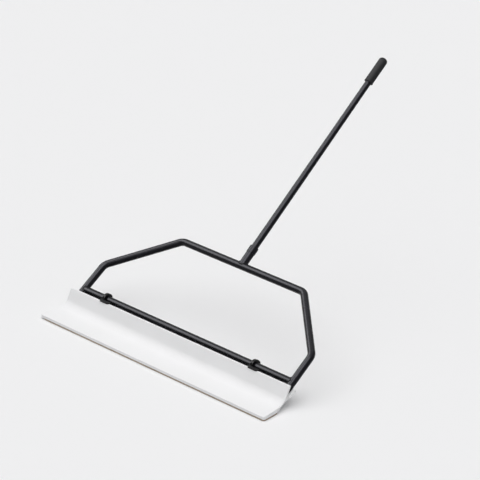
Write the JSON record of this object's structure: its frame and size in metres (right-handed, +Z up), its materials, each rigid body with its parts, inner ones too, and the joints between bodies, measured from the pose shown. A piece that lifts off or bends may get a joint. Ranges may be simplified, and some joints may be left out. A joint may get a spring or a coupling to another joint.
{
  "type": "floor squeegee",
  "caption": "Wide floor squeegee: a bent tube bow with a crossbar holds a curved plastic blade with a rubber strip, and a long handle locks in a slanted socket.",
  "frame": {"origin": "middle of the underside of the rubber strip, on the floor", "axes": "+X along the blade, +Y from the lip towards the grip, +Z up from the floor"},
  "size_m": [1.2462, 1.282, 0.9265],
  "materials": {
    "black_powder_coat": "satin black powder coat on tube",
    "black_clamp_coat": "satin black coat on clamps",
    "black_screw_steel": "blackened screw steel",
    "zinc_steel": "zinc-plated steel",
    "white_plastic": "smooth white moulded plastic",
    "tan_rubber": "matt tan rubber",
    "black_grip_rubber": "matt dark grey rubber",
    "black_plastic": "black moulded plastic"
  },
  "bodies": {
    "frame": {"blade": "white_plastic", "blade_bolt_left": "zinc_steel", "blade_bolt_right": "zinc_steel", "blade_washer_left": "zinc_steel", "blade_washer_right": "zinc_steel", "bow_tube": "black_powder_coat", "clamp_bottom_left": "black_clamp_coat", "clamp_bottom_right": "black_clamp_coat", "clamp_screw_left_front": "black_screw_steel", "clamp_screw_left_rear": "black_screw_steel", "clamp_screw_right_front": "black_screw_steel", "clamp_screw_right_rear": "black_screw_steel", "clamp_top_left": "black_clamp_coat", "clamp_top_right": "black_clamp_coat", "collet": "black_plastic", "crossbar": "black_powder_coat", "crossbar_weld_left": "black_powder_coat", "crossbar_weld_right": "black_powder_coat", "handle_socket": "black_powder_coat", "leg_foot_left": "zinc_steel", "leg_foot_right": "zinc_steel", "socket_weld": "black_powder_coat", "wiper_strip": "tan_rubber"},
    "locking_collar": {"locking_collar": "black_powder_coat"},
    "handle": {"grip": "black_grip_rubber", "handle_cap": "black_plastic", "handle_plug": "black_plastic", "handle_tube": "black_powder_coat"}
  },
  "joints": [
    {"name": "handle_slide", "type": "slide", "parent": "frame", "child": "handle", "axis": [0, 0.7694, 0.6388], "range_m": [0, 0.05]},
    {"name": "collar_turn", "type": "hinge", "parent": "frame", "child": "locking_collar", "pos_m": [-0.0045, 0.51485, 0.31753], "axis": [0, 0.7694, 0.6388], "range_deg": [0, 90]}
  ]
}
